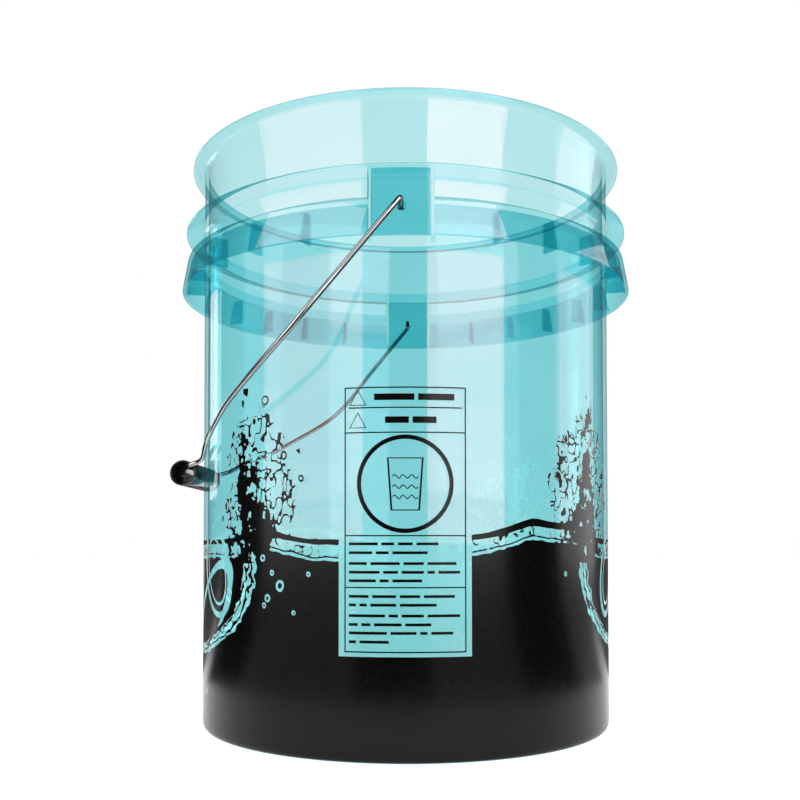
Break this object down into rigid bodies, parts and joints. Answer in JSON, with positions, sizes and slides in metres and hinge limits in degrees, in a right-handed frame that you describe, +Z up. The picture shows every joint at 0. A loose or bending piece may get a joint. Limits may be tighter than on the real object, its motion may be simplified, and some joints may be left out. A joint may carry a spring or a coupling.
{
  "type": "fermenting bucket",
  "caption": "Open-topped round tapered plastic bucket with rim, stacking skirt, moulded ears and a swinging wire bail with a tube grip, for home brewing and winemaking.",
  "frame": {"origin": "centre of the underside of the base, on the bucket axis", "axes": "+Z up along the bucket axis; -Y and +Y through the two bail ears; the bail hangs towards -X at rest"},
  "size_m": [0.3056, 0.32, 0.368],
  "materials": {
    "aqua_plastic": "clear aqua-tinted, glossy",
    "plated_wire": "bright plated wire",
    "black_plastic": "glossy black"
  },
  "bodies": {
    "pail": {"tub_base": "aqua_plastic", "tub_wall": "aqua_plastic", "rim_lip": "aqua_plastic", "upper_ring": "aqua_plastic", "skirt_web_left": "aqua_plastic", "skirt_web_right": "aqua_plastic", "skirt_wall_left": "aqua_plastic", "skirt_wall_right": "aqua_plastic", "bail_ear_front": "aqua_plastic", "bail_ear_back": "aqua_plastic", "skirt_gusset_01": "aqua_plastic", "skirt_gusset_02": "aqua_plastic", "skirt_gusset_03": "aqua_plastic", "skirt_gusset_04": "aqua_plastic", "skirt_gusset_05": "aqua_plastic", "skirt_gusset_06": "aqua_plastic", "skirt_gusset_07": "aqua_plastic", "skirt_gusset_08": "aqua_plastic", "skirt_gusset_09": "aqua_plastic", "skirt_gusset_10": "aqua_plastic", "skirt_gusset_11": "aqua_plastic", "skirt_gusset_12": "aqua_plastic", "skirt_gusset_13": "aqua_plastic", "skirt_gusset_14": "aqua_plastic", "skirt_gusset_15": "aqua_plastic", "skirt_gusset_16": "aqua_plastic", "skirt_gusset_17": "aqua_plastic", "skirt_gusset_18": "aqua_plastic", "skirt_gusset_19": "aqua_plastic", "skirt_gusset_20": "aqua_plastic"},
    "bail": {"bail_wire": "plated_wire"},
    "grip": {"grip_tube": "black_plastic"}
  },
  "joints": [
    {"name": "bail_swing", "type": "hinge", "parent": "pail", "child": "bail", "pos_m": [0, 0, 0.3], "axis": [0, 1, 0], "range_deg": [0, 268]},
    {"name": "grip_spin", "type": "hinge", "parent": "bail", "child": "grip", "pos_m": [-0.1436, 0, 0.1593], "axis": [0, 1, 0], "continuous": true}
  ]
}
